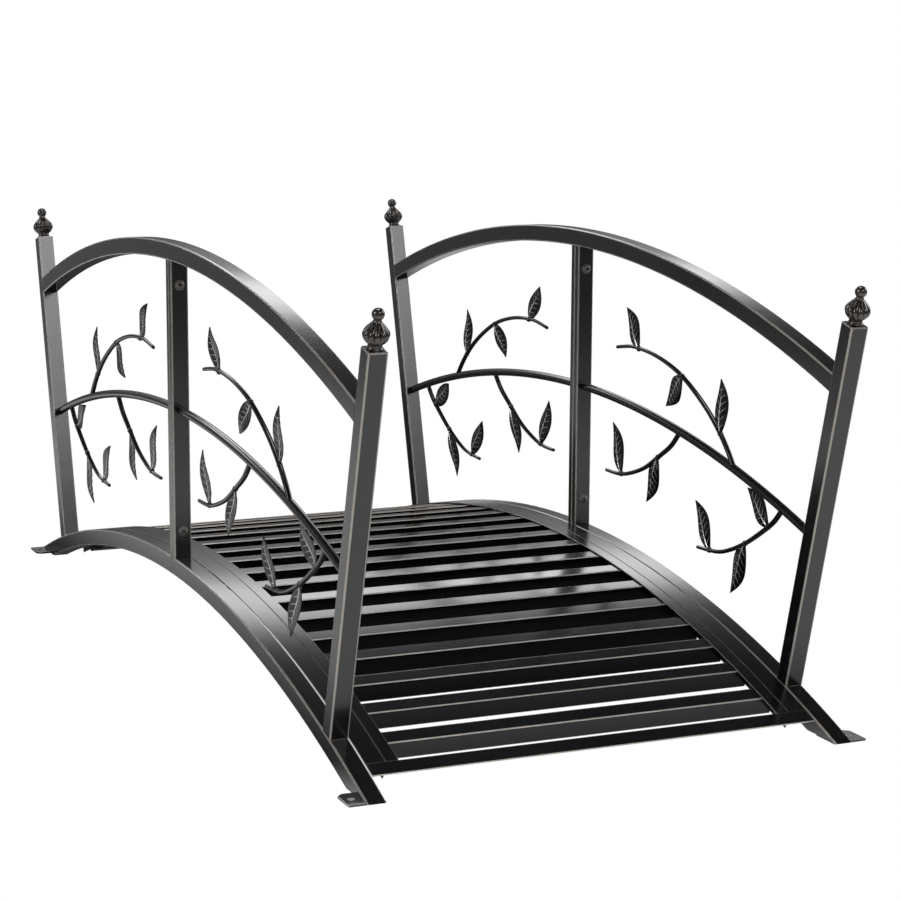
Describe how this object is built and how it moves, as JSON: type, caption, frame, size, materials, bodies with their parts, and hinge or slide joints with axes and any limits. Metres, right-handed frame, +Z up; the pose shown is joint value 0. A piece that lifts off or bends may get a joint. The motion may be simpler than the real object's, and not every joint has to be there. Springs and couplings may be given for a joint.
{
  "type": "arched garden bridge",
  "caption": "Small arched steel garden bridge with a slatted deck and leaf-scroll railings between leaning end posts with finials.",
  "frame": {"origin": "middle of the footprint, on the floor", "axes": "+X along the bridge towards the front end, +Y across it to the right railing, +Z up"},
  "size_m": [1.5464, 0.704, 0.59],
  "materials": {
    "black_coat": "satin",
    "finial_enamel": "gloss"
  },
  "bodies": {
    "root": {"left_front_beam": "black_coat", "left_front_post": "black_coat", "left_front_finial": "finial_enamel", "left_front_handrail": "black_coat", "left_front_centre_bar": "black_coat", "left_front_vine": "black_coat", "left_front_deck_rail": "black_coat", "left_back_beam": "black_coat", "left_back_post": "black_coat", "left_back_finial": "finial_enamel", "left_back_handrail": "black_coat", "left_back_centre_bar": "black_coat", "left_back_vine": "black_coat", "left_back_deck_rail": "black_coat", "right_front_beam": "black_coat", "right_front_post": "black_coat", "right_front_finial": "finial_enamel", "right_front_handrail": "black_coat", "right_front_centre_bar": "black_coat", "right_front_vine": "black_coat", "right_front_deck_rail": "black_coat", "right_back_beam": "black_coat", "right_back_post": "black_coat", "right_back_finial": "finial_enamel", "right_back_handrail": "black_coat", "right_back_centre_bar": "black_coat", "right_back_vine": "black_coat", "right_back_deck_rail": "black_coat", "front_end_bar": "black_coat", "front_slat_01": "black_coat", "front_slat_02": "black_coat", "front_slat_03": "black_coat", "front_slat_04": "black_coat", "front_slat_05": "black_coat", "front_slat_06": "black_coat", "front_slat_07": "black_coat", "front_slat_08": "black_coat", "front_slat_09": "black_coat", "front_slat_10": "black_coat", "back_end_bar": "black_coat", "back_slat_01": "black_coat", "back_slat_02": "black_coat", "back_slat_03": "black_coat", "back_slat_04": "black_coat", "back_slat_05": "black_coat", "back_slat_06": "black_coat", "back_slat_07": "black_coat", "back_slat_08": "black_coat", "back_slat_09": "black_coat", "back_slat_10": "black_coat"}
  },
  "joints": []
}
